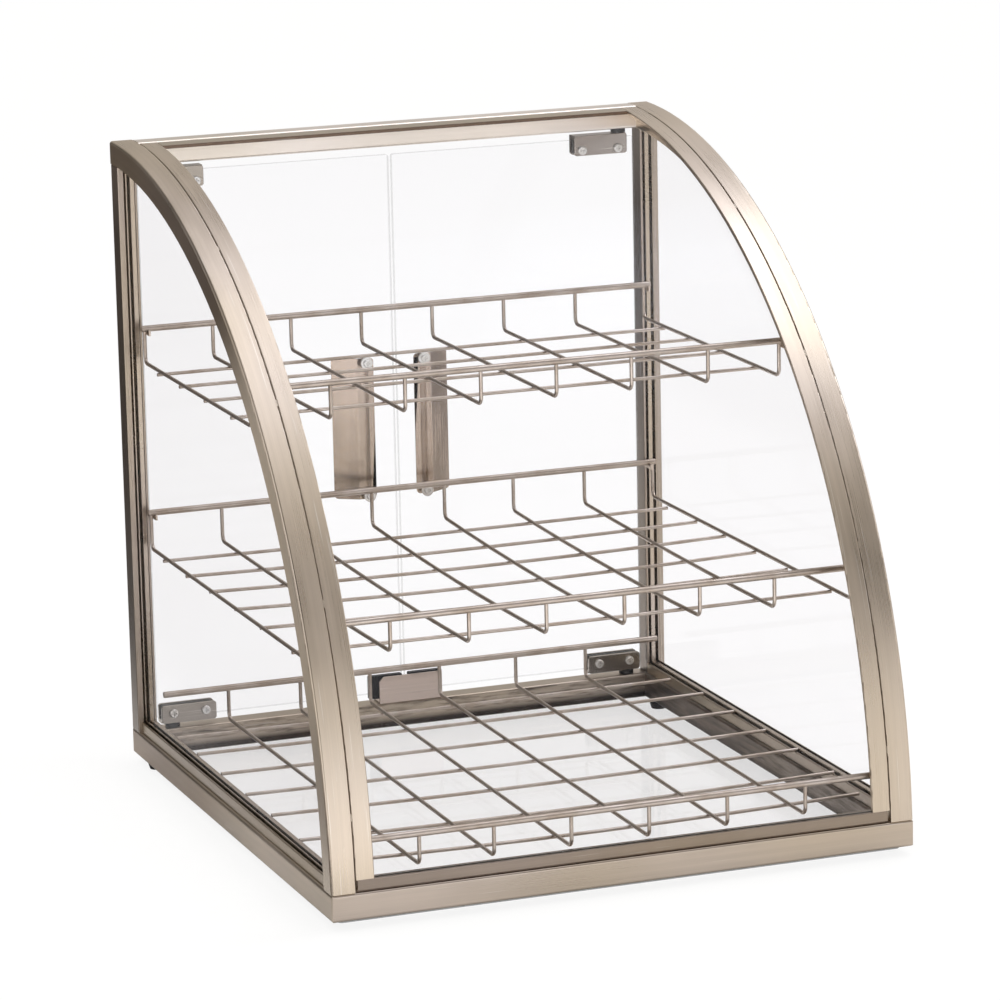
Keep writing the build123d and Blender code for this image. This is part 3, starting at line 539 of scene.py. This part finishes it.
def build_world():
    """Studio sky: banded for reflections, even for diffuse light."""
    net = Net(bpy.data.worlds.new("studio"), "OutputWorld")
    x, y, z = net.xyz(net.coord("Generated"))
    diffuse_ray = net.node("LightPath").outputs["Is Diffuse Ray"]
    sweep = net.mul(net.math("ARCTAN2", z, net.mul(y, -1.0)), math.degrees(1.0))

    def profile(points):
        """Piecewise smooth brightness over the sweep angle."""
        total = points[0][1]
        for (start, before), (end, after) in zip(points, points[1:]):
            step = net.ramp(sweep, (start, end), to=(0.0, after - before), smooth=True)
            total = net.add(total, step)
        return total

    banded = net.mix_float(net.ramp(x, (0.29, 0.395), smooth=True),
                           profile(SKY_LEFT), profile(SKY_RIGHT))
    # a dark band on the left
    left_dark = net.mul(net.ramp(x, (-0.05, -0.30), smooth=True),
                        net.ramp(x, (-0.55, -0.80), to=(1.0, -0.25), smooth=True))
    banded = net.mul(banded, net.sub(1.0, net.mul(left_dark, 0.88)))

    even = net.add(net.mul(diffuse_ray, 1.0), 0.0)
    strength = net.mix_float(even, banded, 0.85)
    # dim parts are warm, bright parts cool
    cast = net.mix(net.ramp(banded, (0.35, 1.7), smooth=True),
                   (1.0, 0.95, 0.89), (0.985, 1.02, 1.12))
    colour = net.mix(even, cast, (1.0, 0.99, 0.975))
    return net.finish(net.shader("Background", {"Color": colour, "Strength": strength}))


scene.world = build_world()


# ---------------------------------------------------------------- lights
def area_light(name, location, target, size, energy, colour):
    """Rectangular light aimed at `target`, hidden from reflections; `size` is (x, y)."""
    light = bpy.data.lights.new(name, "AREA")
    light.energy = energy
    light.color = colour
    light.shape = "RECTANGLE"
    light.size, light.size_y = size
    lamp = bpy.data.objects.new(name, light)
    scene.collection.objects.link(lamp)
    lamp.location = location
    aim = Vector(target) - Vector(location)
    lamp.rotation_euler = aim.to_track_quat("-Z", "Y").to_euler()
    lamp.visible_glossy = False


area_light("key_softbox", location=(0.60, -0.02, 1.28), target=(0.20, 0.0, 0.35),
           size=(0.55, 0.85), energy=5.6, colour=(1.0, 0.99, 0.975))
area_light("top_softbox", location=(-0.1, -0.3, 2.3), target=(0.0, 0.0, 0.3),
           size=(1.3, 1.3), energy=3.2, colour=(1.0, 0.99, 0.98))

# ---------------------------------------------------------------- camera
# in front of the case, to the left and a little above it
CAMERA_PLACE = Vector((-1.3754, -3.68215, 1.1512))
AZIMUTH = math.radians(-20.48)
ELEVATION = math.radians(12.70)
ROLL = math.radians(-1.23)

back = Vector((math.sin(AZIMUTH) * math.cos(ELEVATION),
               -math.cos(AZIMUTH) * math.cos(ELEVATION),
               math.sin(ELEVATION)))
level_right = (-back).cross(Vector((0, 0, 1))).normalized()
level_up = level_right.cross(-back)
right = math.cos(ROLL) * level_right + math.sin(ROLL) * level_up
up = -math.sin(ROLL) * level_right + math.cos(ROLL) * level_up

lens = bpy.data.cameras.new("camera")
lens.sensor_width = 36.0
lens.lens = 173.2068
lens.clip_end = 100.0
camera = bpy.data.objects.new("camera", lens)
scene.collection.objects.link(camera)
camera.matrix_world = Matrix((
    *zip(right, up, back, CAMERA_PLACE),
    (0, 0, 0, 1)))
scene.camera = camera

# ---------------------------------------------------------------- render settings
scene.cycles.transparent_max_bounces = 40
scene.cycles.max_bounces = 14
scene.cycles.glossy_bounces = 6
scene.cycles.caustics_reflective = False
scene.cycles.caustics_refractive = False
